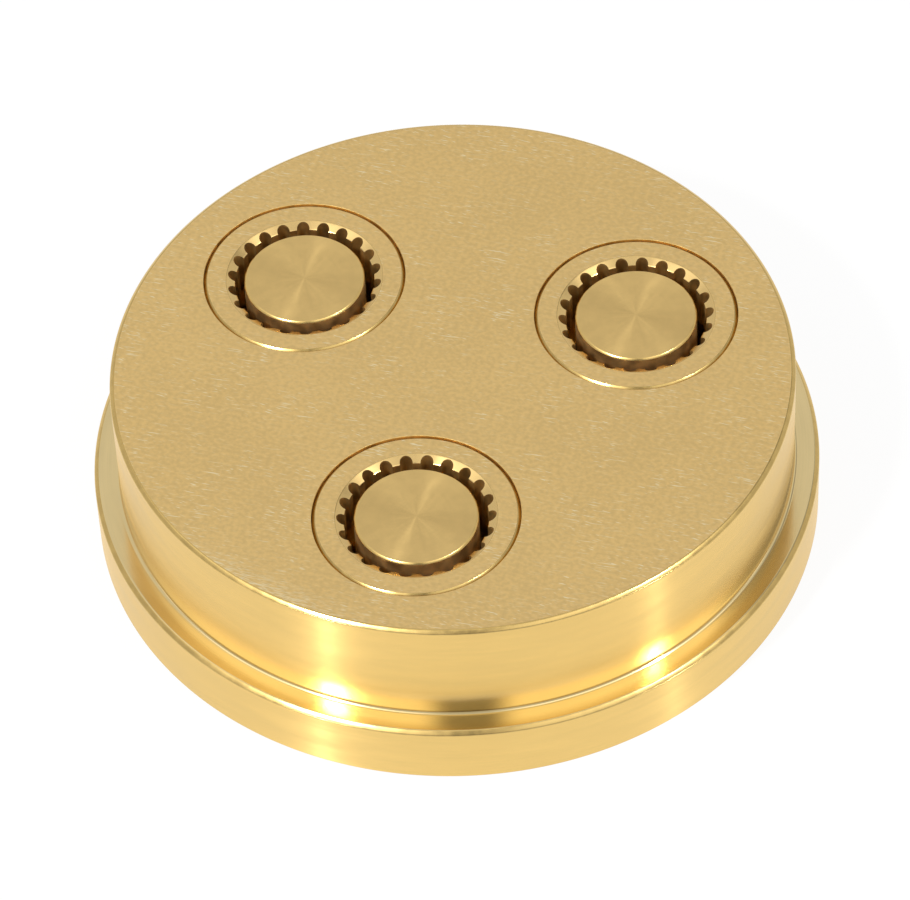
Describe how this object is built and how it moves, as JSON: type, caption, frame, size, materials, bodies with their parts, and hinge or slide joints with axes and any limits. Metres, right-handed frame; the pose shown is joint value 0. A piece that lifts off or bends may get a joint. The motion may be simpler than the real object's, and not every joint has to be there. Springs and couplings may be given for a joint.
{
  "type": "pasta extrusion die",
  "caption": "Round stepped brass die with flange and nose; pressed-in grooved bushes with central cores shape dough into ridged tubes.",
  "frame": {"origin": "centre of the flat back face, on the die's axis", "axes": "+Z is the die's axis and points out of the front face, the way the pasta leaves; one insert lies on -Y and the other two at 30 and 150 degrees from +X"},
  "size_m": [0.059, 0.059, 0.0154],
  "materials": {
    "body_brass": "satin lapped face, turned sides",
    "bush_brass": "satin lapped face, bright turned edges",
    "core_brass": "fine turned face"
  },
  "bodies": {
    "root": {"die_body": "body_brass", "nozzle_bush_front": "bush_brass", "nozzle_bush_right": "bush_brass", "nozzle_bush_left": "bush_brass", "core_pin_front": "core_brass", "core_pin_right": "core_brass", "core_pin_left": "core_brass"}
  },
  "joints": []
}
